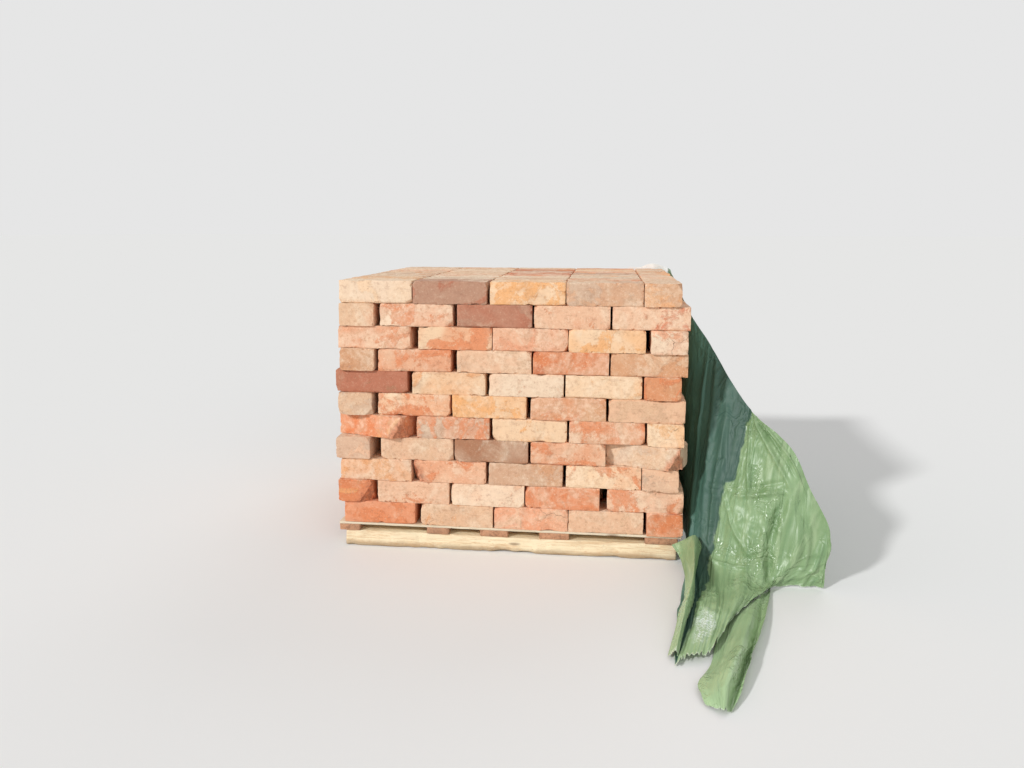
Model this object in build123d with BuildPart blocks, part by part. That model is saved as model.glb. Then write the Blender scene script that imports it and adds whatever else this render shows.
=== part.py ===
# A loaded pallet of reclaimed clay bricks, in millimetres.
# +X runs to the right along the front face, +Y runs into the depth, +Z is up.
# The origin is on the floor, under the middle of the pallet.
import os
from random import Random

from build123d import *

# Brick and bond
brick_length = 213.0
brick_width = 102.0
brick_height = 65.0
worn_arris = 3.0
stretchers_per_row = 4
rows_deep = 8
courses = 11
bed_gap = 0.3
row_joint = 4.5
header_joint = 3.0
end_joint = 7.0

# How the load was set by hand: the front bricks of each course, from the top course down.
# First how far the left end lies to the right of its true place, then the open joints.
front_of_course = [
    (2, (3, 9, 2, 2)),
    (2, (16, 13, 6, 6)),
    (-3, (23, 2, 2, 14)),
    (2, (10, 18, 5.5, 4.5)),
    (-14, (15, 10, 6, 6)),
    (-6, (16, 6, 13, 7)),
    (-4, (16, 9, 7, 5)),
    (-15, (32, 5, 8, 11)),
    (-4, (6, 9, 9, 2.5)),
    (-11, (16, 6.5, 3.5, 22)),
    (5, (17, 5, 2, 8)),
]

# Bricks with a lower corner knocked off at the front face: (course, place in the row, end),
# where place -1 is the header
broken_corners = [(4, 0, "right"), (3, 3, "right"), (2, 1, "left"), (1, -1, "left")]
break_length = 30.0
break_depth = 34.0
break_height = 52.0

joint_wobble = 0.9
end_wobble = 1.5
face_wobble = 2.5
turn_wobble = 0.4
least_joint = 2.0

# Timber pallet: bearers along X, cross battens along Y, thin deck boards along X
bearer_length = 970.0
bearer_width = 92.0
bearer_height = 46.0
bearer_arris = 7.0
bearer_wane = 20.0
batten_thickness = 19.0
batten_arris = 2.0
batten_widths = [61, 66, 82, 86, 92]
batten_shares = [-0.4856, -0.2113, -0.0402, 0.1402, 0.4557]
deck_thickness = 6.5
deck_width = 97.0
deck_boards = 7
deck_overhang = 10.0
deck_shift = -2.5
deck_arris = 1.0

# Stretch film. A panel still clings to the rear right corner: (distance from the corner,
# how far its torn top edge stands over the load). The loose part is given by columns of
# five points from its free edge down to the hem, where it trails on the floor, measured
# from the load's front right corner on the floor.
film_thickness = 2.0
film_clearance = 0.3
film_foot = 60.0
film_lift = 2.5
film_front_gap = 18.0
film_peel = 6.0
film_rows = 5
back_panel = [(340, -330), (250, -140), (175, 4), (120, 34), (60, 26), (0, 2)]
side_panel = [(150, -12), (300, -26), (430, -36), (520, -52)]
loose_film = [
    [(23, 256, 682), (12, 231, 460), (6, 206, 250), (3, 186, 130), (4, 171, 40)],
    [(67, 206, 615), (40, 156, 400), (16, 96, 150), (10, 71, 60), (14, 56, 8)],
    [(85, 176, 581), (52, 114, 365), (4, -34, 84), (-16, -234, 36), (-84, -559, 6)],
    [(103, 146, 547), (64, 76, 330), (26, -34, 66), (4, -244, 20), (-66, -566, 4)],
    [(148, 86, 473), (94, 6, 270), (48, -74, 44), (12, -294, 24), (-38, -634, 4)],
    [(174, 36, 435), (124, -34, 240), (76, -109, 36), (40, -354, 26), (-18, -704, 4)],
    [(200, -4, 411), (156, -64, 220), (114, -134, 30), (72, -384, 22), (14, -719, 4)],
    [(239, -44, 383), (200, -94, 205), (164, -150, 30), (132, -334, 18), (70, -554, 4)],
    [(279, -74, 337), (249, -114, 190), (216, -156, 30), (182, -254, 16), (132, -374, 4)],
    [(314, -104, 252), (294, -126, 150), (266, -146, 56), (240, -156, 24), (204, -174, 4)],
    [(358, -139, 157), (350, -146, 112), (334, -150, 64), (318, -150, 34), (300, -148, 4)],
    [(349, -149, 73), (349, -150, 55), (348, -151, 38), (347, -152, 22), (346, -152, 4)],
]

stack_length = stretchers_per_row * (brick_length + end_joint) + brick_width
stack_depth = rows_deep * brick_width + (rows_deep - 1) * row_joint
headers_per_column = round(stack_depth / brick_length)
column_depth = headers_per_column * brick_length + (headers_per_column - 1) * header_joint
deck_top = bearer_height + batten_thickness + deck_thickness
stack_top = deck_top + courses * (brick_height + bed_gap)

hand = Random(11)
os.makedirs("parts", exist_ok=True)


def even_joints(total, count):
    """Joints of about the same width that together fill the given total."""
    wobble = [hand.uniform(-joint_wobble, joint_wobble) for _ in range(count)]
    middle = sum(wobble) / count
    return [max(least_joint, total / count + w - middle) for w in wobble]


def course_bricks(course):
    """Where each brick of a course lies: worn, plain hidden, and chipped bricks.

    Course 0 is the bottom one. The column of headers is at the right end of
    every even course and at the left end of the others.
    """
    left_shift, front_joints = front_of_course[(courses - 1 - course) % len(front_of_course)]
    header_right = course % 2 == 0
    left = -stack_length / 2 + left_shift
    free = sum(front_joints)
    right = left + stretchers_per_row * brick_length + brick_width + free
    floor = deck_top + bed_gap + course * (brick_height + bed_gap)
    top_course = course == courses - 1
    broken = {place: end for of_course, place, end in broken_corners if of_course == course}
    worn = []
    plain = []
    chipped = []
    for row in range(rows_deep):
        joints = list(front_joints) if row == 0 else even_joints(free, stretchers_per_row)
        middle_y = -stack_depth / 2 + brick_width / 2 + row * (brick_width + row_joint)
        x = left if header_right else left + brick_width
        for place in range(stretchers_per_row):
            if not header_right:
                x += joints[place]
            at_end = place == (0 if header_right else stretchers_per_row - 1)
            outer_row = row in (0, rows_deep - 1)
            seen = top_course or outer_row or at_end
            turn = hand.uniform(-turn_wobble, turn_wobble) if seen else 0.0
            out = hand.uniform(-0.4, 1.0) * face_wobble if outer_row else 0.0
            y = middle_y - out if row == 0 else middle_y + out
            lie = Location((x + brick_length / 2, y, floor), (0, 0, turn))
            if row == 0 and place in broken:
                chipped.append((lie, broken[place]))
            else:
                (worn if seen else plain).append(lie)
            x += brick_length
            if header_right:
                x += joints[place]
    header_x = right - brick_width / 2 if header_right else left + brick_width / 2
    for place in range(headers_per_column):
        y = -column_depth / 2 + brick_length / 2 + place * (brick_length + header_joint)
        if place == 0:
            y -= hand.uniform(0, 1.6) * face_wobble
        if place == headers_per_column - 1:
            y += hand.uniform(0, 1.6) * face_wobble
        outward = 1 if header_right else -1
        x = header_x + outward * hand.uniform(0, end_wobble) * (place > 0)
        turn = 90 + hand.uniform(-turn_wobble, turn_wobble)
        lie = Location((x, y, floor), (0, 0, turn))
        if place == 0 and -1 in broken:
            chipped.append((lie, broken[-1]))
        else:
            worn.append(lie)
    return worn, plain, chipped


# One brick, its arrises worn round, and the plain one used where none shows
with BuildPart() as worn_brick:
    with BuildSketch():
        Rectangle(brick_length, brick_width)
    extrude(amount=brick_height)
    chamfer(worn_brick.edges(), worn_arris)

with BuildPart() as plain_brick:
    with BuildSketch():
        Rectangle(brick_length, brick_width)
    extrude(amount=brick_height)

# Worn bricks with the lower front corner gone at the right end, and at the left end
with BuildPart() as chipped_right:
    add(worn_brick.part)
    with BuildSketch(Plane((brick_length / 2, -brick_width / 2, 0), x_dir=(1, 0, 0), z_dir=(0, 0, 1))):
        Polygon((-break_length, 0), (0, 0), (0, break_depth), align=None)
    with BuildSketch(Plane((brick_length / 2, -brick_width / 2, break_height))):
        Polygon((-0.4, 0), (0, 0), (0, 0.4), align=None)
    loft(mode=Mode.SUBTRACT)
chipped_left = mirror(chipped_right.part, about=Plane.YZ)

# The courses, from the bottom up
right_end = 0.0
back_end = 0.0
for course in range(courses):
    worn, plain, chipped = course_bricks(course)
    with BuildPart() as layer:
        with Locations(*worn):
            add(worn_brick.part)
        if plain:
            with Locations(*plain):
                add(plain_brick.part)
        for lie, end in chipped:
            with Locations(lie):
                add(chipped_right.part if end == "right" else chipped_left)
    label = f"course_{course + 1:02d}"
    layer.part.label = label
    export_step(layer.part, f"parts/{label}.step")
    box = layer.part.bounding_box()
    right_end = max(right_end, box.max.X)
    back_end = max(back_end, box.max.Y)

# Bearers: rough slabs with rounded lower arrises, the front one waney along its top edge
bearer_line = stack_depth / 2 - bearer_width / 2
for label, y in (("front", -bearer_line), ("middle", 0.0), ("rear", bearer_line)):
    half = bearer_width / 2
    with BuildPart() as bearer:
        with BuildSketch(Plane.YZ) as section:
            with BuildLine():
                Line((y - half, 0), (y + half, 0))
                Line((y + half, 0), (y + half, bearer_height))
                Line((y + half, bearer_height), (y - half + bearer_wane, bearer_height))
                if label == "front":
                    TangentArc(
                        (y - half + bearer_wane, bearer_height),
                        (y - half, bearer_height - bearer_wane * 0.8),
                        tangent=(-1, 0),
                    )
                    Line((y - half, bearer_height - bearer_wane * 0.8), (y - half, 0))
                else:
                    Line((y - half + bearer_wane, bearer_height), (y - half, bearer_height))
                    Line((y - half, bearer_height), (y - half, 0))
            make_face()
            fillet(section.vertices().group_by(Axis.Z)[0], bearer_arris)
        extrude(amount=bearer_length / 2, both=True)
    bearer.part.label = f"bearer_{label}"
    export_step(bearer.part, f"parts/bearer_{label}.step")

# Cross battens of odd widths, laid over the bearers from front to back
for number, (width, share) in enumerate(zip(batten_widths, batten_shares), 1):
    x = share * bearer_length
    with BuildPart() as batten:
        with BuildSketch(Plane.XZ):
            with Locations((x, bearer_height + batten_thickness / 2)):
                Rectangle(width, batten_thickness)
        extrude(amount=stack_depth / 2, both=True)
        chamfer(batten.edges().filter_by(Axis.Y), batten_arris)
    batten.part.label = f"cross_batten_{number}"
    export_step(batten.part, f"parts/cross_batten_{number}.step")

# Thin deck boards over the battens, under the bricks
deck_length = stack_length + 2 * deck_overhang
deck_step = (stack_depth - deck_width) / (deck_boards - 1)
for number in range(1, deck_boards + 1):
    y = -stack_depth / 2 + deck_width / 2 + (number - 1) * deck_step
    with BuildPart() as board:
        with BuildSketch(Plane.XY.offset(bearer_height + batten_thickness)):
            with Locations((deck_shift, y)):
                Rectangle(deck_length, deck_width)
        extrude(amount=deck_thickness)
        chamfer(board.edges().filter_by(Axis.X), deck_arris)
    board.part.label = f"deck_board_{number}"
    export_step(board.part, f"parts/deck_board_{number}.step")


def folded_sheet(grid, thickness):
    """A sheet of even thickness through a grid of points, in flat facets."""
    rows = range(len(grid))
    columns = range(len(grid[0]))

    def normal(i, j):
        across = grid[i][min(j + 1, columns[-1])] - grid[i][max(j - 1, 0)]
        down = grid[min(i + 1, rows[-1])][j] - grid[max(i - 1, 0)][j]
        return across.cross(down).normalized() * (thickness / 2)

    outer = [[grid[i][j] + normal(i, j) for j in columns] for i in rows]
    inner = [[grid[i][j] - normal(i, j) for j in columns] for i in rows]
    quads = []
    for i in rows[:-1]:
        for j in columns[:-1]:
            quads.append((outer[i][j], outer[i][j + 1], outer[i + 1][j + 1], outer[i + 1][j]))
            quads.append((inner[i][j], inner[i + 1][j], inner[i + 1][j + 1], inner[i][j + 1]))
    for i in rows[:-1]:
        quads.append((outer[i][0], outer[i + 1][0], inner[i + 1][0], inner[i][0]))
        quads.append((outer[i][-1], inner[i][-1], inner[i + 1][-1], outer[i + 1][-1]))
    for j in columns[:-1]:
        quads.append((outer[0][j], inner[0][j], inner[0][j + 1], outer[0][j + 1]))
        quads.append((outer[-1][j], outer[-1][j + 1], inner[-1][j + 1], inner[-1][j]))
    faces = []
    for a, b, c, d in quads:
        faces.append(Face(Wire.make_polygon([a, b, c])))
        faces.append(Face(Wire.make_polygon([a, c, d])))
    return Solid(Shell(faces))


# Stretch film, one sheet: round the rear right corner, along the right side, and loose
half_film = film_thickness / 2
side_x = right_end + film_clearance + half_film
back_y = back_end + film_clearance + half_film
front_y = -stack_depth / 2 + film_front_gap
film_low = half_film + film_lift
columns = []
for away, rise in back_panel + side_panel:
    top = Vector(side_x - away, back_y, stack_top + rise)
    if (away, rise) in side_panel:
        peel = film_peel * (away / side_panel[-1][0]) ** 3
        top = Vector(side_x + peel, back_y - away, stack_top + rise)
    foot = Vector(top.X, top.Y, film_foot)
    columns.append([top + (foot - top) * (row / (film_rows - 1)) for row in range(film_rows)])
for points in loose_film:
    columns.append([Vector(side_x + x, front_y + y, max(z, film_low)) for x, y, z in points])
grid = [[column[row] for column in columns] for row in range(film_rows)]
with BuildPart() as wrap_film:
    add(folded_sheet(grid, film_thickness))
wrap_film.part.label = "wrap_film"
export_step(wrap_film.part, "parts/wrap_film.step")
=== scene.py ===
import math
import random

import bpy
from mathutils import Matrix, Vector, noise


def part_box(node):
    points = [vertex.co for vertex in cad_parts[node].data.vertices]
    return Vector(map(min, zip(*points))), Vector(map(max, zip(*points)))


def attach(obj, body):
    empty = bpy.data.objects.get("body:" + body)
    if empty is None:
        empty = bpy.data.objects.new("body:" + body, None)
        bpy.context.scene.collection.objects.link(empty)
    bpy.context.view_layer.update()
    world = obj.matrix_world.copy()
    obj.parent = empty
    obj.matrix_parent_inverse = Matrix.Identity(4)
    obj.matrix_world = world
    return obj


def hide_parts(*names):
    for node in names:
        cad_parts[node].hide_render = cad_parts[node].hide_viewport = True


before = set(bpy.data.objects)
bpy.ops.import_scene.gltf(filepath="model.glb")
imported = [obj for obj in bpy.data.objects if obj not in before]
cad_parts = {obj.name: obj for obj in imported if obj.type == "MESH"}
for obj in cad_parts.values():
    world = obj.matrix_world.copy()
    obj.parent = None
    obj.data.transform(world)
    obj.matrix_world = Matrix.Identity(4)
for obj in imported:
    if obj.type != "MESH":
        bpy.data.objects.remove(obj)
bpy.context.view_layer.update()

# The view. The camera stands a little to the right of the middle of the front face, 0.94 m
# over the floor, and looks slightly down and to the left. Its width, focal length and shift
# are in pixels.
view_width, view_focal, view_shift = 1024.0, 800.0, -60.0
view_yaw, view_pitch, view_roll = -0.11713, 0.11776, -0.00301
view_place = (0.2735, -2.64506, 0.93606)
lens = bpy.data.cameras.new("viewer")
lens.sensor_width = 36.0
lens.lens = view_focal / view_width * lens.sensor_width
lens.shift_y = view_shift / view_width
viewer = bpy.data.objects.new("viewer", lens)
bpy.context.scene.collection.objects.link(viewer)
aim = Matrix.Rotation(-view_yaw, 4, "Z") @ Matrix.Rotation(math.pi / 2 - view_pitch, 4, "X")
viewer.matrix_world = Matrix.Translation(view_place) @ aim @ Matrix.Rotation(-view_roll, 4, "Z")
bpy.context.scene.camera = viewer
bpy.context.scene.view_settings.view_transform = "Standard"


# The stage. A plain pale floor lies under soft studio light, with the strongest lamp in
# front on the left. The backdrop is what camera, glossy and transmission rays see of the
# world, and it is brighter than the light that the world gives.
class Socket:
    """An output of a shader node. Maths done with it adds Math nodes."""

    def __init__(self, paint, output):
        self.paint = paint
        self.output = output

    def maths(self, operation, *values):
        settings = {"operation": operation}
        return self.paint.node("ShaderNodeMath", settings, dict(enumerate(values)))

    def __add__(self, other):
        return self.maths("ADD", self, other)

    def __radd__(self, other):
        return self.maths("ADD", other, self)

    def __sub__(self, other):
        return self.maths("SUBTRACT", self, other)

    def __rsub__(self, other):
        return self.maths("SUBTRACT", other, self)

    def __mul__(self, other):
        return self.maths("MULTIPLY", self, other)

    def __rmul__(self, other):
        return self.maths("MULTIPLY", other, self)

    def __abs__(self):
        return self.maths("ABSOLUTE", self)

    def sine(self):
        return self.maths("SINE", self)

    def or_more(self, other):
        return self.maths("MAXIMUM", self, other)


class Paint:
    """A material or world in the making: node() adds a node and gives one of its outputs."""

    def __init__(self, block, shader="Principled BSDF"):
        block.use_nodes = True
        self.block = block
        self.tree = block.node_tree
        self.shader = self.tree.nodes[shader]
        self.colour = None

    def node(self, kind, settings, values, output=0):
        made = self.tree.nodes.new(kind)
        for key, setting in settings.items():
            setattr(made, key, setting)
        for key, value in values.items():
            self.feed(made.inputs[key], value)
        return Socket(self, made.outputs[output])

    def feed(self, socket, value):
        if isinstance(value, Socket):
            self.tree.links.new(value.output, socket)
        elif socket.type == "RGBA":
            socket.default_value = (*value, 1)
        else:
            socket.default_value = value

    def place(self, kind="Object"):
        return self.node("ShaderNodeTexCoord", {}, {}, kind)

    def attribute(self, name, kind):
        return self.node("ShaderNodeAttribute", {"attribute_name": name}, {}, kind)

    def part(self, vector, axis):
        return self.node("ShaderNodeSeparateXYZ", {}, {0: vector}, axis)

    def vector(self, operation, *values, output=0):
        settings = {"operation": operation}
        return self.node("ShaderNodeVectorMath", settings, dict(enumerate(values)), output)

    def moved(self, vector, shift=(0, 0, 0), scale=(1, 1, 1), turn=(0, 0, 0)):
        values = {"Vector": vector, "Location": shift, "Rotation": turn, "Scale": scale}
        return self.node("ShaderNodeMapping", {}, values)

    def noise(self, vector, scale, detail=4, rough=0.6, warp=0.0):
        values = {"Vector": vector, "Scale": scale, "Detail": detail}
        values |= {"Roughness": rough, "Distortion": warp}
        return self.node("ShaderNodeTexNoise", {}, values)

    def cells(self, vector, scale, feature="F1"):
        values = {"Vector": vector, "Scale": scale}
        return self.node("ShaderNodeTexVoronoi", {"feature": feature}, values)

    def between(self, value, low, high, to_low=0.0, to_high=1.0):
        values = {0: value, 1: low, 2: high, 3: to_low, 4: to_high}
        return self.node("ShaderNodeMapRange", {"interpolation_type": "SMOOTHSTEP"}, values)

    def blend(self, first, second, factor):
        settings = {"data_type": "RGBA", "clamp_factor": True}
        return self.node("ShaderNodeMix", settings, {0: factor, 6: first, 7: second}, 2)

    def coat(self, colour, cover):
        """Lays a colour over the base colour, as far as its cover goes."""
        self.colour = self.blend(self.colour, colour, cover)

    def bump(self, height, depth, strength=1.0, under=None):
        values = {"Height": height, "Distance": depth, "Strength": strength}
        if under is not None:
            values["Normal"] = under
        return self.node("ShaderNodeBump", {}, values)

    def finish(self, **inputs):
        for name, value in inputs.items():
            self.feed(self.shader.inputs[name.replace("_", " ")], value)
        return self.block


def shade(red, green, blue):
    """A colour named by its 0 to 255 screen values, as the linear one that shaders use."""
    parts = (part / 255 for part in (red, green, blue))
    return tuple(p / 12.92 if p <= 0.04045 else ((p + 0.055) / 1.055) ** 2.4 for p in parts)


def pick(*pieces):
    """Selects these pieces and nothing else, with the first one active."""
    if bpy.context.object and bpy.context.object.mode != "OBJECT":
        bpy.ops.object.mode_set(mode="OBJECT")
    bpy.ops.object.select_all(action="DESELECT")
    for piece in pieces:
        piece.select_set(True)
    if pieces:
        bpy.context.view_layer.objects.active = pieces[0]


floor_size, floor_middle, floor_pale = 160.0, (0, 60, 0), shade(240, 240, 239)
world_light, backdrop = 0.5, 0.79
lamps = (  # name, the way its light goes, its width in degrees, its power
    ("key", (0.62, 0.62, -0.48), 5.0, 1.95),
    ("fill", (-0.5, 0.75, -0.42), 30.0, 0.3),
    ("back", (-0.3, -0.7, -0.6), 30.0, 0.35),
)
pick()
bpy.ops.mesh.primitive_plane_add(size=floor_size, location=floor_middle)
floor = bpy.context.object
floor.name = "studio_floor"
paint = Paint(bpy.data.materials.new("studio_floor"))
floor.data.materials.append(
    paint.finish(Base_Color=floor_pale, Roughness=1.0, Specular_IOR_Level=0.0)
)

sky = Paint(bpy.data.worlds.new("studio"), "Background")
camera_ray, glossy_ray, clear_ray = (
    sky.node("ShaderNodeLightPath", {}, {}, ray)
    for ray in ("Is Camera Ray", "Is Glossy Ray", "Is Transmission Ray")
)
seen = camera_ray.or_more(glossy_ray).or_more(clear_ray)
levels = {"Value": seen, "To Min": world_light, "To Max": backdrop}
bpy.context.scene.world = sky.finish(
    Color=(1, 1, 1), Strength=sky.node("ShaderNodeMapRange", {}, levels)
)
for name, toward, width, power in lamps:
    light = bpy.data.lights.new(name, "SUN")
    light.angle = math.radians(width)
    light.energy = power
    lamp = bpy.data.objects.new(name, light)
    bpy.context.scene.collection.objects.link(lamp)
    lamp.matrix_world = Vector(toward).to_track_quat("-Z", "Y").to_matrix().to_4x4()


# Bricks. Hand moulded clay bricks taken from an old wall: crisp but chipped arrises, a few
# knocked corners, scorched and stained faces, and a haze of lime from the old mortar. They
# lie dry in eleven courses, each one where its solid is in the course.
brick_kinds = 12
brick_size = Vector((0.213, 0.102, 0.065))
brick_voxel, brick_triangles, brick_sharp = 0.002, 1800, 26
arris_round = (0.0006, 0.0014)
corner_cut, arris_cut = (0.004, 0.011), (0.001, 0.003)
nick_depth, arris_reach, corner_reach, face_margin = 0.018, 0.005, 0.02, 0.006
bite_level, bite_depth = 0.42, 0.012
broken_reach = (0.030, 0.034, 0.052)
broken_depth, fresh_depth = 0.004, 0.011
block_corners, broken_gap = 8, 0.014
inner_scale, inner_arris = 0.985, 0.003
front_depth = 0.06
colours = {
    "cream": shade(245, 208, 170), "chalk": shade(244, 214, 184), "beige": shade(228, 186, 150),
    "tan": shade(218, 160, 118), "orange": shade(228, 138, 90), "ginger": shade(238, 168, 112),
    "terracotta": shade(210, 124, 86), "salmon": shade(235, 164, 126), "pink": shade(239, 191, 156),
    "mauve": shade(194, 148, 122), "grey": shade(212, 180, 154), "soot": shade(178, 126, 94),
    "red": shade(218, 116, 76), "ochre": shade(243, 176, 112), "brown": shade(190, 120, 92),
}
fronts = [  # the front bricks as body:stain, from left to right and from the top course down
    "chalk:cream mauve:brown cream:ochre tan:grey tan:ginger",
    "beige:orange chalk:orange brown:mauve pink:orange pink:red",
    "pink:orange cream:orange pink:salmon cream:ochre chalk:salmon",
    "tan:pink pink:orange pink:beige orange:terracotta tan:beige",
    "brown:soot cream:ginger chalk:pink cream:ochre tan:orange",
    "grey:beige cream:orange cream:ochre tan:orange pink:beige",
    "orange:ginger grey:orange cream:ochre pink:orange cream:ochre",
    "grey:pink beige:pink soot:grey pink:orange grey:beige",
    "pink:ginger pink:orange grey:tan cream:orange pink:grey",
    "orange:ginger pink:orange chalk:pink salmon:orange chalk:orange",
    "salmon:orange beige:ginger salmon:pink pink:beige orange:terracotta",
]
dark = ("mauve", "soot", "brown", "terracotta")
bodies = "cream beige tan salmon pink chalk grey mauve orange ginger terracotta".split()
stains = [*bodies, "ochre", "brown"]


def block(name, size, middle=(0, 0, 0)):
    """A plain block, from which a brick or a board is shaped."""
    pick()
    bpy.ops.mesh.primitive_cube_add(size=1.0, location=middle)
    made = bpy.context.object
    made.name = name
    made.scale = size
    bpy.ops.object.transform_apply(location=True, scale=True)
    return made


def smooth(piece, sharp):
    """Smooth faces, with the edges over so many degrees left sharp."""
    pick(piece)
    bpy.ops.object.shade_smooth_by_angle(angle=math.radians(sharp))


def master_brick(number, broken=0):
    """One worn brick about the origin; broken is the end, 1 or -1, whose corner is gone."""
    dice = random.Random(41 + number)
    brick = block(f"master_{number}", brick_size)
    bpy.ops.object.mode_set(mode="EDIT")
    bpy.ops.mesh.select_all(action="SELECT")
    bpy.ops.mesh.bevel(offset=dice.uniform(*arris_round), segments=2, affect="EDGES")
    half = brick_size / 2
    cuts = []
    for _ in range(dice.randint(2, 5)):
        side = Vector([dice.choice((-1, 1)) for _ in range(3)])
        lean = Vector([part * dice.uniform(0.5, 1.4) for part in side]).normalized()
        cuts.append((side * half - lean * dice.uniform(*corner_cut), lean))
    for _ in range(2):
        side = Vector((0, dice.choice((-1, 1)), dice.choice((-1, 1))))
        lean = Vector((dice.uniform(-0.02, 0.02), side.y, side.z)).normalized()
        cuts.append((side * half - lean * dice.uniform(*arris_cut), lean))
    if broken:
        side = Vector((broken, -1, -1))
        lean = Vector([part / reach for part, reach in zip(side, broken_reach)]).normalized()
        cuts.append((side * half - Vector((broken * broken_reach[0], 0, 0)), lean))
    for place, lean in cuts:
        bpy.ops.mesh.select_all(action="SELECT")
        bpy.ops.mesh.bisect(plane_co=place, plane_no=lean, use_fill=True, clear_outer=True)
    bpy.ops.object.mode_set(mode="OBJECT")
    remesh = brick.modifiers.new("remesh", "REMESH")
    remesh.mode = "VOXEL"
    remesh.voxel_size = brick_voxel
    bpy.ops.object.modifier_apply(modifier="remesh")
    last_cut, last_lean = cuts[-1]
    seed = Vector((number * 3.1, number * 1.7, 0.4))
    normals = [vertex.normal.copy() for vertex in brick.data.vertices]
    for vertex, normal in zip(brick.data.vertices, normals):
        place = vertex.co.copy()
        inside = [half[i] - abs(place[i]) for i in range(3)]
        _, to_arris, to_corner = sorted(inside)
        swell = 0.0011 * noise.noise(place * 17 + seed) + 0.0006 * noise.noise(place * 60 + seed)
        swell += 0.0004 * noise.noise(place * 170 + seed)
        swell -= max(0.0, noise.noise(place * 24 + seed * 3) - bite_level) * bite_depth
        if broken and abs((place - last_cut).dot(last_lean)) < brick_voxel:
            crumble = broken_depth + 0.008 * noise.noise(place * 42 + seed)
            swell -= crumble + 0.004 * noise.noise(place * 120 + seed)
        nick = noise.noise(place * 55 + seed * 2) * 0.6 + noise.noise(place * 150 + seed) * 0.4
        at_arris = max(0.0, 1 - to_arris / arris_reach)
        at_corner = max(0.0, 1 - to_corner / corner_reach)
        nick = max(0.0, nick - 0.22 + 0.16 * at_corner) * at_arris * nick_depth
        inward = Vector([
            (-1 if part > 0 else 1) * (margin < face_margin)
            for part, margin in zip(place, inside)
        ])
        vertex.co = place + normal * swell + inward.normalized() * nick
    thin = brick.modifiers.new("thin", "DECIMATE")
    thin.ratio = min(1.0, brick_triangles / len(brick.data.polygons) / 2)
    bpy.ops.object.modifier_apply(modifier="thin")
    newly_broken = brick.data.attributes.new("fresh", "FLOAT", "POINT")
    for vertex in brick.data.vertices:
        depth = (last_cut - vertex.co).dot(last_lean)
        newly_broken.data[vertex.index].value = 1.0 if broken and depth < fresh_depth else 0.0
    smooth(brick, brick_sharp)
    return brick


def bricks_of(node):
    """Centre, heading and wear of each brick of a course, from front to back."""
    copy = node.copy()
    copy.data = node.data.copy()
    bpy.context.scene.collection.objects.link(copy)
    pick(copy)
    bpy.ops.object.mode_set(mode="EDIT")
    bpy.ops.mesh.select_all(action="SELECT")
    bpy.ops.mesh.remove_doubles(threshold=1e-5)
    bpy.ops.mesh.separate(type="LOOSE")
    bpy.ops.object.mode_set(mode="OBJECT")
    found = []
    for solid in list(bpy.context.selected_objects):
        corners = [vertex.co.copy() for vertex in solid.data.vertices]
        low = Vector([min(corner[i] for corner in corners) for i in range(3)])
        high = Vector([max(corner[i] for corner in corners) for i in range(3)])
        centre = (low + high) / 2
        header = (high.y - low.y) > (high.x - low.x)
        long_way = 1 if header else 0
        far_end = [
            corner - centre for corner in corners
            if corner.z > centre.z and corner[long_way] > centre[long_way]
        ]
        middle = sum(far_end, Vector()) / len(far_end)
        heading = math.atan2(middle.y, middle.x)
        wear = "inner"
        if len(corners) > block_corners:
            wear = "worn"
            left, right = (
                min((Vector((x, low.y, low.z)) - corner).length for corner in corners)
                for x in (low.x, high.x)
            )
            if max(left, right) > broken_gap:
                wear = "left" if left > right or header else "right"
        found.append((centre, heading, wear))
        bpy.data.meshes.remove(solid.data)
    return sorted(found, key=lambda brick: (round(brick[0].y / 0.05), brick[0].x))


def hand_over(piece, finish, node):
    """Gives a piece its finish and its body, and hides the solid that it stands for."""
    piece.data.materials.clear()
    piece.data.materials.append(finish)
    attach(piece, "root")
    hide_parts(node)


masters = [master_brick(number) for number in range(brick_kinds)]
broken_bricks = {"right": master_brick(20, 1), "left": master_brick(21, -1)}
inner_brick = block("inner_brick", brick_size * inner_scale)
bpy.ops.object.mode_set(mode="EDIT")
bpy.ops.mesh.bevel(offset=inner_arris, segments=1, affect="EDGES")
bpy.ops.object.mode_set(mode="OBJECT")

paint = Paint(bpy.data.materials.new("reclaimed_brick"))
clay, stain = paint.attribute("clay", "Color"), paint.attribute("stain", "Color")
marks, fresh = paint.attribute("marks", "Vector"), paint.attribute("fresh", "Fac")
lime_share, stain_share, dirt_share = (paint.part(marks, axis) for axis in range(3))
here = paint.vector("ADD", paint.place(), paint.attribute("batch", "Vector"))
broad = paint.noise(here, 6.0, 2, 0.5, 0.4)
blotch = paint.noise(here, 11.0, 6, 0.6, 0.9)
mottle = paint.noise(here, 75.0, 5, 0.7)
speck = paint.noise(here, 230.0, 3, 0.6)
grain = paint.noise(here, 430.0, 3, 0.7)
drag = paint.noise(paint.moved(here, scale=(14, 14, 120)), 1.0, 4, 0.6)
haze = paint.noise(here, 13.0, 6, 0.64, 0.8)
pits = paint.cells(here, 210.0)

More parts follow.
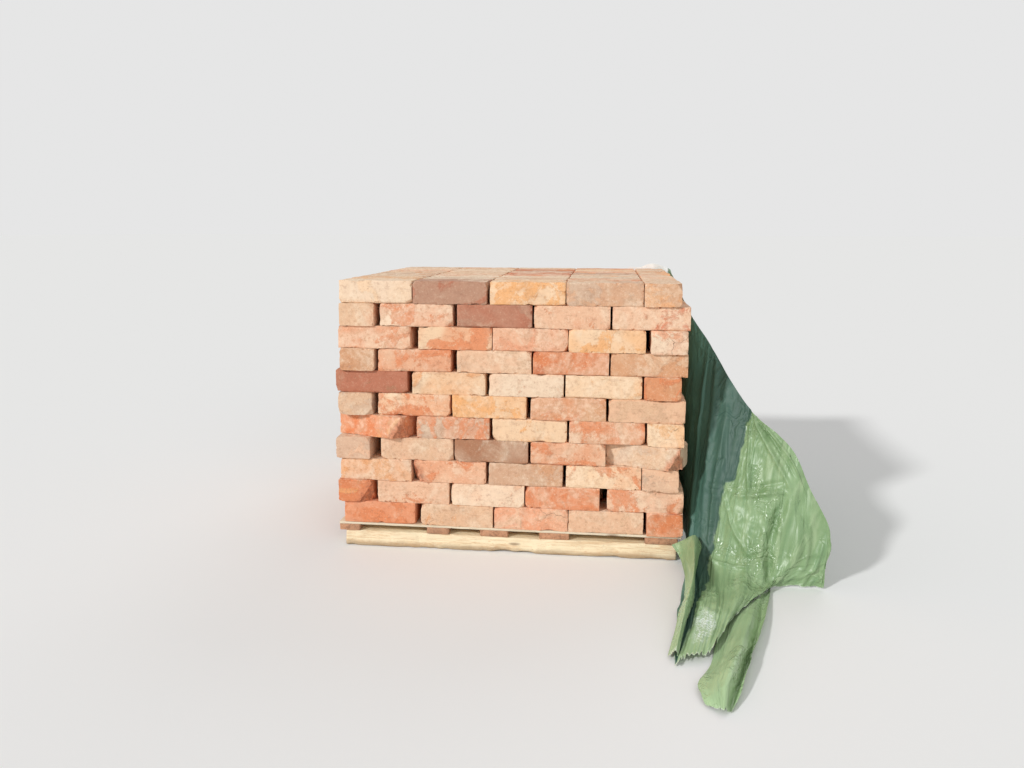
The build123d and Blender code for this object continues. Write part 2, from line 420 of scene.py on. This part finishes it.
# fired clay: the body, its wide stains and flakes, and mottle and specks in both ways
dark_mottle, pale_mottle = shade(150, 88, 60), shade(252, 226, 194)
dark_speck, pale_speck, drag_mark = shade(160, 104, 78), shade(255, 234, 206), shade(166, 112, 84)
wash = paint.between(broad + stain_share * 0.2 - 0.1, 0.42, 0.6)
flake = blotch * 0.78 + mottle * 0.14 + speck * 0.08 + stain_share * 0.12
flake = paint.between(flake, 0.572, 0.63)
chalky = paint.between(lime_share, 0.0, 0.3, 0.4, 1.0)
paint.colour = paint.blend(clay, stain, wash * 0.46)
paint.coat(stain, flake * 0.8)
paint.coat(dark_mottle, paint.between(mottle, 0.5, 0.74) * 0.36)
paint.coat(pale_mottle, paint.between(mottle, 0.46, 0.28) * chalky * 0.38)
specked = paint.between(speck, 0.56, 0.7) * paint.between(blotch, 0.4, 0.6)
paint.coat(dark_speck, specked * 0.44)
paint.coat(pale_speck, paint.between(speck, 0.42, 0.3) * chalky * 0.38)
paint.coat(drag_mark, paint.between(drag, 0.58, 0.74) * 0.3)

# old lime, thickest on the bed faces, then soil and the paler core of a broken corner
lime_thick, lime_thin, soil = shade(250, 230, 204), shade(224, 194, 162), shade(140, 108, 88)
core_clay, core_dark = shade(214, 132, 92), shade(160, 96, 70)
upward = paint.part(paint.node("ShaderNodeNewGeometry", {}, {}, "Normal"), 2)
bed_face = paint.between(upward, 0.5, 0.95)
limed = paint.between(haze + lime_share * 0.16 + bed_face * 0.1, 0.52, 0.74)
lime = paint.blend(lime_thick, lime_thin, paint.between(mottle, 0.4, 0.62))
paint.coat(lime, limed * (0.4 + bed_face * 0.25))
soiled = paint.between(paint.noise(here, 15.0, 4, 0.6), 0.54, 0.74) * dirt_share
paint.coat(soil, soiled * 0.26)
core = paint.blend(core_clay, core_dark, paint.between(mottle, 0.4, 0.62))
paint.coat(core, fresh * 0.7)

# fine cracks on a few bricks, and small open pits on all, with painted shade in the pits
crack_dark, pit_shade = shade(120, 76, 58), shade(110, 70, 52)
sway = paint.node("ShaderNodeTexNoise", {}, {"Vector": here, "Scale": 26.0}, 1)
bent = paint.vector("MULTIPLY_ADD", sway, (0.06, 0.06, 0.06), here)
cracked = paint.between(dirt_share * paint.between(lime_share, 0.0, 0.2), 0.86, 0.88)
crack = paint.between(paint.cells(bent, 6.0, "DISTANCE_TO_EDGE"), 0.004, 0.0) * cracked
crack = crack * paint.between(broad, 0.5, 0.56)
paint.coat(crack_dark, crack * 0.8)
paint.coat(pit_shade, paint.between(pits, 0.14, 0.03) * 0.5)
worn_face = grain * 0.5 + mottle * 0.9 + drag * 0.8 + paint.between(pits, 0.0, 0.22) * 0.5
relief = paint.bump(worn_face - crack, 0.0014, 0.9)
relief = paint.bump(limed * haze + flake * 0.4, 0.0018, 0.8, relief)
brick_finish = paint.finish(
    Base_Color=paint.colour, Roughness=0.88 + limed * 0.06 - mottle * 0.06, Normal=relief
)

courses = sorted(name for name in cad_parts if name.startswith("course_"))
hand = random.Random(23)
for name, front in zip(reversed(courses), fronts):
    front_kinds = [kind.split(":") for kind in front.split()]
    spots = bricks_of(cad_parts[name])
    front_edge = min(centre.y for centre, *_ in spots) + front_depth
    in_front = sorted((s[0] for s in spots if s[0].y < front_edge), key=lambda centre: centre.x)
    pieces = []
    for centre, heading, wear in spots:
        source = broken_bricks.get(wear, inner_brick)
        if wear == "worn":
            source = masters[hand.randrange(brick_kinds)]
        body, spot = hand.choice(bodies), hand.choice(stains)
        if centre in in_front:
            body, spot = front_kinds[in_front.index(centre)]
        turns = (hand.randrange(2), hand.randrange(2)) if wear == "worn" else (0, 0)
        flip = Matrix.Rotation(math.pi * turns[0], 4, "X")
        flip = flip @ Matrix.Rotation(math.pi * turns[1], 4, "Z")
        brick = source.copy()
        brick.data = source.data.copy()
        bpy.context.scene.collection.objects.link(brick)
        brick.data.transform(Matrix.Translation(centre) @ Matrix.Rotation(heading, 4, "Z") @ flip)
        tone = hand.uniform(0.94, 1.04)
        calm = 0.2 if body in dark or body == "orange" else 1.0
        lime_stain_dirt = [hand.random() * (body not in dark), hand.random() * calm, hand.random()]
        looks = {
            "clay": ("FLOAT_COLOR", [*(part * tone for part in colours[body]), 1.0]),
            "stain": ("FLOAT_COLOR", [*colours[spot], 1.0]),
            "marks": ("FLOAT_VECTOR", lime_stain_dirt),
            "batch": ("FLOAT_VECTOR", [hand.uniform(0, 9) for _ in range(3)]),
        }
        for label, (kind, value) in looks.items():
            stored = brick.data.attributes.new(label, kind, "POINT")
            field = "color" if kind == "FLOAT_COLOR" else "vector"
            stored.data.foreach_set(field, value * len(brick.data.vertices))
        pieces.append(brick)
    pick(*pieces)
    bpy.ops.object.join()
    course = bpy.context.object
    course.name = name.replace("course", "bricks")
    hand_over(course, brick_finish, name)
for source in [*masters, *broken_bricks.values(), inner_brick]:
    bpy.data.meshes.remove(source.data)


# Timber pallet. Three rough slabs of softwood carry five odd weathered battens, nailed
# across them, and thin sawn boards close the top. The front slab still has its waney edge.
slab_cut = {"arris": 0.0025, "cuts": 140, "wear": 0.003}
batten_cut = {"arris": 0.0022, "cuts": 70, "wear": 0.0022}
board_cut = {"arris": 0.0012, "cuts": 90, "wear": 0.0012}
slab_wanes = {"front": 0.006, "middle": 0.0, "rear": 0.008}
batten_count, board_count = 5, 7
wane_depth, wane_lift = 0.007, 0.006
timber_sharp = 50
knot_brown, foot_dark, dust_dark = shade(122, 84, 56), shade(150, 120, 88), shade(70, 56, 44)


def sawn_timber(name, node, arris, cuts, wear, wane=0.0):
    """A sawn piece in the place of its solid, with rings of cuts so it can bow and wear."""
    low, high = (Vector(corner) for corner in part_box(node))
    size, middle = high - low, (low + high) / 2
    long_way = 0 if size.x > size.y else 1
    across = 1 - long_way
    board = block(name, size, middle)
    mesh = board.data
    if wane:
        for edge in mesh.edges:
            ends = [mesh.vertices[i].co for i in edge.vertices]
            edge.select = all(e.y < low.y + 0.001 and e.z > high.z - 0.001 for e in ends)
        mesh.update()
        bpy.ops.object.mode_set(mode="EDIT")
        bpy.ops.mesh.select_mode(type="EDGE")
        bpy.ops.mesh.bevel(offset=wane, segments=6, affect="EDGES")
        bpy.ops.object.mode_set(mode="OBJECT")
    bpy.ops.object.mode_set(mode="EDIT")
    bpy.ops.mesh.select_mode(type="EDGE")
    bpy.ops.mesh.select_all(action="DESELECT")
    bpy.ops.mesh.edges_select_sharp(sharpness=math.radians(40))
    bpy.ops.mesh.bevel(offset=arris, segments=2, affect="EDGES")
    bpy.ops.object.mode_set(mode="OBJECT")
    reach = size[long_way] * 0.8
    for edge in mesh.edges:
        first, second = (mesh.vertices[i].co for i in edge.vertices)
        edge.select = abs(first[long_way] - second[long_way]) > reach
    for face in mesh.polygons:
        face.select = False
    bpy.ops.object.mode_set(mode="EDIT")
    bpy.ops.mesh.subdivide(number_cuts=cuts)
    bpy.ops.object.mode_set(mode="OBJECT")
    seed = Vector((low.x * 7 + low.y * 3, low.y * 5, 1.7))
    for vertex in mesh.vertices:
        place = vertex.co.copy()
        run = Vector((place[long_way] * 5, 0, 0)) + seed
        vertex.co[across] += wear * noise.noise(run) * 0.8
        rough = Vector((place[long_way] * 42, place[across] * 30, place.z * 30)) + seed
        lean = Vector((0, 0, 0))
        lean[across] = noise.noise(rough)
        lean.z = noise.noise(rough + Vector((9, 9, 9)))
        vertex.co += lean * wear * 0.45
        if wane and place.y < middle.y:
            side = 4.2 if place.z > middle.z else 1.3
            ragged = noise.noise(Vector((place.x * 9, side, 0)))
            ragged += 0.6 * noise.noise(Vector((place.x * 40, side, 2)))
            vertex.co.y += max(-0.001, ragged * wane_depth)
            if place.z < middle.z:
                vertex.co.z += max(0, ragged * wane_lift)
        vertex.co.z = min(max(vertex.co.z, low.z), high.z)
    mesh.update()
    smooth(board, timber_sharp)
    return board


def timber_finish(name, pale, dark, grey, greying, turn=0.0, streak=1.0):
    """Sawn softwood: grain streaks along the board, saw marks across it, knots, dust, and darker
    towards the bottom.
    """
    paint = Paint(bpy.data.materials.new(name))
    at = paint.moved(paint.place(), turn=(0, 0, turn))
    rings = paint.noise(paint.moved(at, scale=(1.6, 26, 26)), 3.2, 5, 0.62, 1.2)
    fibre = paint.noise(paint.moved(at, scale=(7, 190, 190)), 2.4, 4, 0.7)
    knot = paint.between(paint.cells(paint.moved(at, scale=(4.2, 16, 16)), 1.0), 0.11, 0.03)
    shred = paint.noise(paint.moved(at, scale=(38, 150, 150)), 1.0, 5, 0.75)
    saw = paint.noise(paint.moved(at, scale=(240, 3, 3)), 1.0, 2, 0.5)
    cloud = paint.noise(paint.moved(at, scale=(6, 14, 14)), 1.0, 5, 0.6)
    dust = paint.noise(at, 160.0, 4, 0.7)
    paint.colour = paint.blend(pale, dark, paint.between(rings, 0.42, 0.7) * 0.75 * streak)
    paint.coat(dark, paint.between(fibre, 0.55, 0.8) * 0.5)
    paint.coat(dark, paint.between(shred, 0.56, 0.68) * 0.6)
    paint.coat(pale, paint.between(shred, 0.44, 0.34) * 0.6)
    paint.coat(knot_brown, knot * 0.7)
    paint.coat(grey, paint.between(cloud, 0.42, 0.66) * greying)
    # darker towards the bottom of each piece
    paint.coat(foot_dark, paint.between(paint.part(at, 2) - cloud * 0.026, 0.008, -0.01) * 0.7)
    paint.coat(dust_dark, paint.between(dust, 0.62, 0.8) * 0.5)
    relief = paint.bump(fibre * 0.7 + rings * 0.6 + shred * 0.8, 0.0022, 0.9)
    relief = paint.bump(saw, 0.0009, 0.6, relief)
    return paint.finish(Base_Color=paint.colour, Roughness=0.78 + cloud * 0.15, Normal=relief)


bearer_wood = timber_finish(
    "bearer_wood", shade(255, 238, 202), shade(221, 178, 130), shade(226, 199, 162), 0.25
)
batten_wood = timber_finish(
    "batten_wood", shade(210, 156, 120), shade(144, 98, 70), shade(150, 122, 100), 0.4,
    turn=math.pi / 2,
)
deck_wood = timber_finish(
    "deck_wood", shade(238, 224, 198), shade(206, 176, 132), shade(190, 176, 152), 0.3,
    streak=0.6,
)
for label, wane in slab_wanes.items():
    slab = sawn_timber(f"slab_{label}", f"bearer_{label}", wane=wane, **slab_cut)
    hand_over(slab, bearer_wood, f"bearer_{label}")
for number in range(1, batten_count + 1):
    batten = sawn_timber(f"batten_{number}", f"cross_batten_{number}", **batten_cut)
    hand_over(batten, batten_wood, f"cross_batten_{number}")
for number in range(1, board_count + 1):
    board = sawn_timber(f"board_{number}", f"deck_board_{number}", **board_cut)
    hand_over(board, deck_wood, f"deck_board_{number}")


# Stretch film. Thin green polythene that was wound round the load and has been slit and
# pulled off: it clings to the rear right corner, hangs off the right side, and trails on
# the floor in front in crumples, with a torn hem and a second fold under it.
film_clear, film_foot, film_lowest = 0.0012, 0.06, 0.0016
load_right = max(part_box(name)[1][0] for name in courses) + film_clear
load_back = max(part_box(name)[1][1] for name in courses) + film_clear
load_front = min(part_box(name)[0][1] for name in courses)
load_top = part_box(courses[-1])[1][2]
bed_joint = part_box(courses[0])[0][2]
course_rise = (load_top - bed_joint) / len(courses)
loose_reach, corner_width, cling_ripple = 0.09, 0.02, 0.0005
crumple_wave, crease_wave, crinkle_wave = 0.09, 0.05, 0.02
frayed_middle, frayed_reach = 0.83, 0.1
slit_depth, row_steps = 0.25, 2000

# The film's outlines, in millimetres. A panel's free top edge is its run from the load's rear
# right corner and its rise over the load. The rest are columns of points from the top edge
# to the hem: the loose film's from film_corner, under the load's front right corner, and the
# strip's and the tongue's from the middle of the pallet.
film_corner = Vector((load_right, -0.40575, 0))
back_panel = [(340, -330), (250, -140), (165, -8), (108, 5), (62, 19), (0, 1)]
side_panel = [(150, -12), (300, -26), (430, -36), (520, -52)]
loose_film = [
    ((23, 256, 682), (12, 231, 460), (6, 206, 250), (3, 186, 130), (4, 171, 40)),
    ((67, 206, 615), (40, 156, 400), (16, 96, 150), (10, 71, 60), (14, 56, 8)),
    ((95, 161, 564), (58, 95, 348), (14, -20, 60), (-4, -234, 16), (-76, -559, 4)),
    ((148, 86, 473), (94, 6, 270), (48, -74, 44), (12, -294, 24), (-50, -575, 10)),
    ((174, 36, 435), (124, -34, 240), (76, -109, 36), (40, -334, 26), (-22, -572, 18)),
    ((200, -4, 411), (156, -64, 220), (114, -134, 30), (72, -330, 24), (12, -540, 20)),
    ((239, -44, 383), (200, -94, 205), (164, -150, 30), (128, -270, 22), (64, -410, 20)),
    ((279, -74, 337), (249, -114, 190), (216, -156, 30), (180, -220, 18), (122, -300, 14)),
    ((314, -104, 252), (294, -126, 150), (266, -146, 56), (240, -156, 24), (204, -174, 4)),
    ((358, -139, 157), (350, -146, 112), (334, -150, 64), (318, -150, 34), (300, -148, 4)),
    ((349, -149, 73), (349, -150, 55), (348, -151, 38), (347, -152, 22), (346, -152, 4)),
]
strip_lines = [
    ((468, -450, 58), (492, -500, 30), (488, -650, 18), (455, -800, 12), (420, -960, 5)),
    ((500, -449, 74), (504, -515, 58), (496, -662, 44), (462, -812, 32), (428, -965, 14)),
    ((532, -452, 90), (524, -525, 84), (506, -668, 68), (472, -818, 50), (438, -968, 22)),
    ((552, -456, 60), (530, -530, 40), (508, -674, 26), (476, -824, 16), (441, -964, 6)),
]
tongue_lines = [
    ((560, -780, 3), (513, -971, 7), (476, -1057, 9), (477, -1098, 8), (483, -1131, 3)),
    ((604, -690, 4), (534, -952, 12), (499, -1075, 20), (494, -1119, 18), (497, -1141, 5)),
    ((650, -620, 3), (570, -905, 22), (529, -1040, 32), (511, -1106, 26), (508, -1154, 8)),
    ((686, -584, 4), (602, -872, 30), (558, -1024, 42), (530, -1102, 32), (518, -1156, 8)),
    ((704, -568, 3), (632, -832, 3), (579, -1000, 4), (544, -1090, 4), (525, -1150, 3)),
    ((722, -552, 5), (656, -800, 18), (597, -975, 24), (560, -1080, 18), (532, -1146, 6)),
]
drawn_folds = [  # start u and v, end u and v, half width, height
    (0.712, 0.00, 0.845, 0.15, 0.013, 0.014), (0.730, 0.00, 0.852, 0.10, 0.009, -0.010),
    (0.750, 0.01, 0.885, 0.08, 0.011, 0.009), (0.705, 0.03, 0.770, 0.30, 0.011, 0.009),
    (0.732, 0.27, 0.845, 0.18, 0.010, 0.010), (0.745, 0.24, 0.838, 0.15, 0.008, -0.007),
    (0.845, 0.18, 0.823, 0.39, 0.020, -0.016), (0.823, 0.39, 0.853, 0.56, 0.018, -0.014),
    (0.890, 0.22, 0.900, 0.50, 0.034, 0.016), (0.665, 0.50, 0.800, 0.47, 0.010, 0.009),
    (0.675, 0.30, 0.790, 0.43, 0.010, 0.008), (0.640, 0.10, 0.655, 0.45, 0.010, 0.008),
    (0.915, 0.28, 0.925, 0.60, 0.007, 0.007), (0.940, 0.25, 0.945, 0.70, 0.006, 0.006),
    (0.600, 0.02, 0.640, 0.50, 0.012, 0.007), (0.560, 0.05, 0.610, 0.60, 0.012, 0.006),
]


def skirt_lines():
    """The main sheet's columns, each five points from the free top edge down to the hem."""
    tops = []
    for away, rise in back_panel:
        tops.append(Vector((load_right - away / 1000, load_back, load_top + rise / 1000)))
    for away, rise in side_panel:
        tops.append(Vector((load_right, load_back - away / 1000, load_top + rise / 1000)))
    lines = []
    for top in tops:
        foot = Vector((top.x, top.y, film_foot))
        lines.append([top.lerp(foot, step / 4) for step in range(5)])
    for line in loose_film:
        lines.append([film_corner + Vector(point) / 1000 for point in line])
    return lines


def along(points, share):
    """The point a share of the way through a row of points, on a smooth line."""
    last = len(points) - 1
    first = min(int(share * last), last - 1)
    part = share * last - first
    before, start, end = points[max(first - 1, 0)], points[first], points[first + 1]
    after = points[min(first + 2, last)]
    bend = (2 * before - 5 * start + 4 * end - after) * part
    twist = (3 * start - before - 3 * end + after) * part * part
    return (2 * start + (end - before + bend + twist) * part) / 2


def crease(place, seed=0.0):
    """Sharp ridges, as in crushed film: 1 on a ridge, 0 well off it."""
    return 1 - min(1, abs(noise.noise(place + Vector((seed, seed, seed)))) * 2.6)


def soft_folds(u, v):
    """Long soft folds from the free edge to the hem, and small pleats above the hem."""
    runs = noise.noise(Vector((u * 22 + v * 2, v * 1.5, 0)))
    runs += 0.5 * noise.noise(Vector((u * 55 - v * 3, v * 3, 3)))
    hem = max(0, (v - 0.42) / 0.58) ** 0.5
    return runs + hem * 0.7 * (crease(Vector((u * 70, v * 2.5, 7))) - 0.4)


def drawn(u, v):
    """The folds that the pull has drawn: ridges and hollows that run out at both ends."""
    lift = 0
    for start_u, start_v, end_u, end_v, half_width, height in drawn_folds:
        run = Vector((end_u - start_u, end_v - start_v))
        away = Vector((u - start_u, v - start_v))
        part = min(1, max(0, away.dot(run) / run.length_squared))
        near = 1 - (away - run * part).length / half_width
        if near > 0:
            rounded = height * near * near * (3 - 2 * near)
            lift += rounded * (0.35 + 0.65 * math.sin(math.pi * part))
    return lift


def film_sheet(name, lines, across, down, folds, crumple, torn, share=(0.0, 1.0), pulled=False):
    """A grid laid over the lines, then folded, crumpled, and torn along its hem.

    u runs from 0 at the slit edge to 1 at the free end, and v from 0 at the top to 1 at the
    hem. share is the part of the film's width that the piece's pattern covers, and pulled
    adds the drawn folds and the frayed stretch of the hem.
    """
    pick()
    bpy.ops.mesh.primitive_grid_add(x_subdivisions=across, y_subdivisions=down, size=1)
    sheet = bpy.context.object
    sheet.name = name
    rows = {}
    spots = []
    for vertex in sheet.data.vertices:
        u, v = vertex.co.x + 0.5, 0.5 - vertex.co.y
        tear = 0.5 + 0.5 * noise.noise((u * 22, 3.1, 0)) + 0.9 * noise.noise((u * 120, 7, 0))
        frayed = torn
        if pulled:
            frayed *= 1 + 2 * max(0, 1 - abs(u - frayed_middle) / frayed_reach)
        v *= 1 - frayed * max(0, tear) * v ** 6
        row = round(v * row_steps)
        if row not in rows:
            rows[row] = [along(line, row / row_steps) for line in lines]
        slit = 0.3 + noise.noise((v * 6, 5, 1)) + 0.6 * noise.noise((v * 40, 9, 1))
        vertex.co = along(rows[row], u + torn * slit_depth * max(0, slit) * (1 - u) ** 60)
        spots.append((share[0] + u * (share[1] - share[0]), v))
    sheet.data.update()
    normals = [vertex.normal.copy() for vertex in sheet.data.vertices]
    for vertex, normal, (u, v) in zip(sheet.data.vertices, normals, spots):
        place = vertex.co.copy()
        off_load = max(place.x - load_right, load_front - place.y) / loose_reach
        free = min(1, max(0.1, off_load))
        rough = max(0, noise.noise(place * 7 + Vector((2, 5, 1))) - 0.05) * 2.6
        sharp = 0.5 * crease(place / crease_wave, 5) + 0.25 * crease(place / crinkle_wave, 9)
        lift = 0.9 * noise.noise(place / crumple_wave) + rough * sharp
        depth = free * (folds * soft_folds(u, v) + crumple * lift)
        if pulled:
            depth += drawn(u, v)
        place += normal * depth
        if place.y > load_front - 0.006:
            if place.x < load_right and place.y < load_back - corner_width:
                place.x = load_right + cling_ripple * lift
            elif load_back - corner_width < place.y < load_back and place.x < load_right - 0.001:
                place.y = load_back + cling_ripple * lift
        place.z = max(place.z, film_lowest)
        vertex.co = place
    for corner in sheet.data.uv_layers[0].data:
        corner.uv.x = share[0] + corner.uv.x * (share[1] - share[0])
    sheet.data.polygons.foreach_set("use_smooth", [True] * len(sheet.data.polygons))
    sheet.data.update()
    return sheet


def ridges(paint, vector, scale, detail, warp):
    """Sharp raised lines, as where thin film has been crushed: 1 on a line, 0 off it."""
    return paint.between(abs(paint.noise(vector, scale, detail, 0.5, warp) - 0.5), 0.09, 0.0)


paint = Paint(bpy.data.materials.new("green_film"))
at, spread = paint.place(), paint.place("UV")
round_sheet, up_sheet = paint.part(spread, 0), paint.part(spread, 1)
thin = paint.noise(at, 6.0, 4, 0.6, 0.6)
cloud = paint.noise(at, 34.0, 5, 0.62, 0.8)
streaks = paint.noise(paint.moved(spread, scale=(46, 4, 1)), 1.0, 4, 0.55, 0.5)
long_folds = ridges(paint, paint.moved(spread, scale=(26, 3.2, 1)), 1.0, 2, 0.4)
creases = ridges(paint, at, 14.0, 2, 1.0)
crinkle = ridges(paint, at, 34.0, 3, 0.8)
crushed = paint.between(paint.noise(at, 8.0, 2, 0.5), 0.5, 0.6)

# one layer of film, paler where it is stretched or crushed, with dirt on it
film_green, film_pale = shade(123, 152, 106), shade(143, 171, 126)
stretched, slack, film_dirt = shade(176, 196, 154), shade(112, 146, 104), shade(156, 140, 104)
paint.colour = paint.blend(film_green, film_pale, paint.between(thin, 0.36, 0.64))
paint.coat(stretched, paint.between(streaks, 0.5, 0.7) * 0.5 + crinkle * crushed * 0.2)
paint.coat(slack, paint.between(streaks, 0.48, 0.3) * 0.5)
paint.coat(film_dirt, paint.between(paint.noise(at, 17.0, 6, 0.7), 0.62, 0.74) * 0.4)

# several layers: paler where they cling to the load; beside the load, where the film hangs, a
# painted shadow of the load in dark teal, paler next to the load and darker out towards its edge,
# to even out the lamps' own shade
shadow_teal_near, shadow_teal_far = shade(70, 124, 114), shade(34, 72, 70)
cling_green, cling_pale = shade(92, 132, 100), shade(124, 160, 122)
# where the painted shadow ends: sweep bends its edge lower down the sheet, and it is made ragged
sweep = paint.between(up_sheet, 0.72, 0.78, 0.03, 0.0)
sweep = sweep + paint.between(up_sheet, 0.0, 0.4, 0.05, 0.0)
ragged = (paint.noise(paint.moved(spread, scale=(9, 9, 1)), 1.0, 4, 0.6) - 0.5) * 0.07
layers_and_shadow = paint.between(round_sheet + sweep + ragged, 0.706, 0.698)
cling = paint.between(round_sheet, 0.52, 0.46)
painted_shadow = paint.blend(shadow_teal_near, shadow_teal_far, paint.between(round_sheet, 0.53, 0.67))
cling_and_shadow = paint.blend(painted_shadow, paint.blend(cling_green, cling_pale, streaks), cling)
paint.coat(cling_and_shadow, layers_and_shadow * (0.74 + streaks * 0.24))
in_shade = layers_and_shadow * (1 - cling)

# the part that trails on the floor, painted paler because its flat face takes less of the lamps'
# light, with a patch of painted glints, partly the white of creases, where it is crushed most
trail_painted_light, glint_white = shade(178, 206, 158), shade(236, 246, 240)
trailing = paint.between(paint.part(at, 1), -0.56, -0.72) * (1 - layers_and_shadow)
paint.coat(trail_painted_light, trailing * (0.35 + streaks * 0.5))
# painted glints: white along fine ridges in one patch of the trail, partly the white of crushed
# creases
off_patch = paint.moved(spread, shift=(-15.1, -1.8, 0), scale=(22, 13, 0))
off_patch = paint.vector("LENGTH", off_patch, output="Value") + (cloud - 0.5) * 1.6
glints_and_crease_white = paint.between(off_patch, 1.2, 0.3) * (ridges(paint, at, 80.0, 4, 1.5) + 0.15)
paint.coat(glint_white, glints_and_crease_white * trailing)

# torn edges: over the back of the load a white rim, partly stretched film gone white and partly
# painted glare; at the hem a white edge, partly the same whitening and partly painted highlight;
# and whitish frayed tips
rim_white_glare, hem_white_highlight, fray_white = shade(248, 250, 248), shade(224, 236, 212), shade(226, 238, 218)
torn_rim_glare = paint.between(up_sheet + cloud * 0.02, 0.95, 0.962)
torn_rim_glare = torn_rim_glare * paint.between(round_sheet + cloud * 0.02, 0.262, 0.255)
torn_hem_highlight = paint.between(up_sheet, 0.014, 0.002) * paint.between(round_sheet, 0.54, 0.58)
fray = paint.between(up_sheet + (cloud - 0.5) * 0.2, 0.05, 0.0)
fray = fray * paint.between(round_sheet, 0.72, 0.78) * paint.between(round_sheet, 0.95, 0.9)
fray = fray * paint.between(crinkle + streaks * 0.4, 0.3, 0.6)
paint.coat(rim_white_glare, torn_rim_glare)
paint.coat(hem_white_highlight, torn_hem_highlight * 0.8)
paint.coat(fray_white, fray * 0.7)

# folds and crinkles, and the bed joints that show through where the film clings
unrimmed = 1 - torn_rim_glare
relief = paint.bump(long_folds * unrimmed, 0.005, 0.35)
relief = paint.bump((creases * crushed + streaks * 0.3) * unrimmed, 0.004, 0.5, relief)
fine = crinkle * crushed * (1 - layers_and_shadow * 0.8) + cloud * 0.15
relief = paint.bump(fine, 0.003, 0.5, relief)
joint_wave = ((paint.part(at, 2) - bed_joint) * (math.pi / course_rise)).sine()
joint = paint.between(abs(joint_wave), 0.5, 0.0) * paint.between(thin, 0.35, 0.65)
tight = paint.noise(paint.moved(spread, scale=(9, 60, 1), turn=(0, 0, 0.12)), 1.0, 3, 0.5, 0.5)
relief = paint.bump((tight * 1.2 - joint * 0.6) * cling * unrimmed, 0.006, 0.9, relief)
gloss = 0.35 - crushed * (1 - in_shade) * 0.17 + cloud * 0.1 - cling * 0.05 + in_shade * 0.16
film_finish = paint.finish(Base_Color=paint.colour, Roughness=gloss, Normal=relief)

skirt = film_sheet("film_skirt", skirt_lines(), 380, 170, 0.007, 0.007, 0.05, pulled=True)
for name, lines, across, down, crumple, torn, flat in (
    ("film_strip", strip_lines, 40, 150, 0.005, 0.03, (0.08, 0.56)),
    ("film_tongue", tongue_lines, 90, 110, 0.005, 0.07, (0.12, 0.46)),
):
    lines = [[Vector(point) / 1000 for point in line] for line in lines]
    piece = film_sheet(name, lines, across, down, 0.003, crumple, torn, share=(0.8, 0.95))
    hand_over(piece, film_finish, "wrap_film")
hand_over(skirt, film_finish, "wrap_film")
